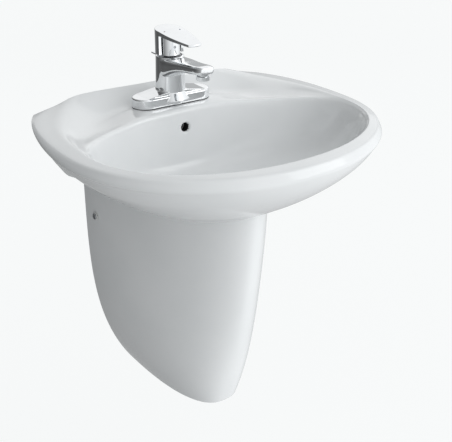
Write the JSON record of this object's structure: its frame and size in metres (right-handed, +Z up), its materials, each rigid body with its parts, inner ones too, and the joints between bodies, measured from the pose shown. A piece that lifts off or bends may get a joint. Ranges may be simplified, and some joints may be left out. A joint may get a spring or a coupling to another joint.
{
  "type": "pedestal sink",
  "caption": "Wall-hung oval washbasin with a half pedestal, single-lever mixer tap, pop-up waste and trap.",
  "frame": {"origin": "midway between the two wall bolts, on the wall plane", "axes": "+Z up, +Y into the wall, +X to the right of a person facing the basin"},
  "size_m": [0.5719, 0.5124, 0.6811],
  "materials": {
    "china": "gloss glazed vitreous china, cool white",
    "chrome": "polished chrome plate",
    "brass": "turned brass",
    "steel": "zinc plated steel",
    "rubber": "black rubber",
    "white_plastic": "white moulded plastic",
    "grey_plastic": "grey moulded plastic",
    "red_marker": "red marker",
    "blue_marker": "blue marker"
  },
  "bodies": {
    "fixed": {"basin": "china", "half_pedestal": "china", "wall_bolts": "steel", "wall_bolt_sleeves": "white_plastic", "wall_bolt_washers": "steel", "wall_bolt_nuts": "steel", "pedestal_brackets": "steel", "pedestal_side_screws": "steel", "pedestal_screw_washers": "white_plastic", "bracket_wall_screws": "steel", "tap_body": "chrome", "tap_base_gasket": "rubber", "inlet_shanks": "brass", "shank_washers": "rubber", "shank_locknuts": "brass", "mixer_cartridge": "white_plastic", "cartridge_retainer": "steel", "aerator_housing": "chrome", "aerator_screen": "grey_plastic", "aerator_washer": "rubber", "drain_flange": "chrome", "drain_body": "brass", "drain_gasket": "rubber", "drain_washer": "grey_plastic", "drain_locknut": "brass", "pivot_ball_nut": "grey_plastic", "tailpiece": "chrome", "trap_j_bend": "chrome", "trap_arm": "chrome", "trap_inlet_nut": "chrome", "trap_arm_nut": "chrome", "trap_inlet_washer": "rubber", "wall_plate_seal": "rubber", "wall_plate": "chrome"},
    "turret": {"cartridge_turret": "grey_plastic", "lever_carrier": "chrome", "carrier_grub_screw": "steel"},
    "lever": {"lever_handle": "chrome", "lever_pin": "steel", "hot_marker": "red_marker", "cold_marker": "blue_marker"},
    "lift_rod": {"lift_rod": "chrome", "lift_knob": "chrome", "clevis_clamp": "steel", "clevis_screw": "steel", "clevis_strap": "steel", "pivot_spring_clip": "steel"},
    "pivot_rod": {"pivot_rod": "steel"},
    "stopper": {"stopper": "chrome", "stopper_seal": "rubber"}
  },
  "joints": [
    {"name": "lever_swivel", "type": "hinge", "parent": "fixed", "child": "turret", "pos_m": [0, -0.067, 0.169], "axis": [0, 0, 1], "range_deg": [-45, 45]},
    {"name": "lever_lift", "type": "hinge", "parent": "turret", "child": "lever", "pos_m": [0, -0.052, 0.178], "axis": [-1, 0, 0], "range_deg": [0, 16]},
    {"name": "lift_rod_slide", "type": "slide", "parent": "fixed", "child": "lift_rod", "axis": [0, 0, 1], "range_m": [0, 0.022]},
    {"name": "pivot_rod_rock", "type": "hinge", "parent": "fixed", "child": "pivot_rod", "pos_m": [0, -0.178, -0.105], "axis": [1, 0, 0], "range_deg": [0, 9.3]},
    {"name": "stopper_slide", "type": "slide", "parent": "fixed", "child": "stopper", "axis": [0, 0, 1], "range_m": [-0.0045, 0]}
  ],
  "couplings": [
    {"joint": "pivot_rod_rock", "follows": "lift_rod_slide", "rad_per_m": 7.1994},
    {"joint": "stopper_slide", "follows": "lift_rod_slide", "ratio": -0.1944}
  ]
}
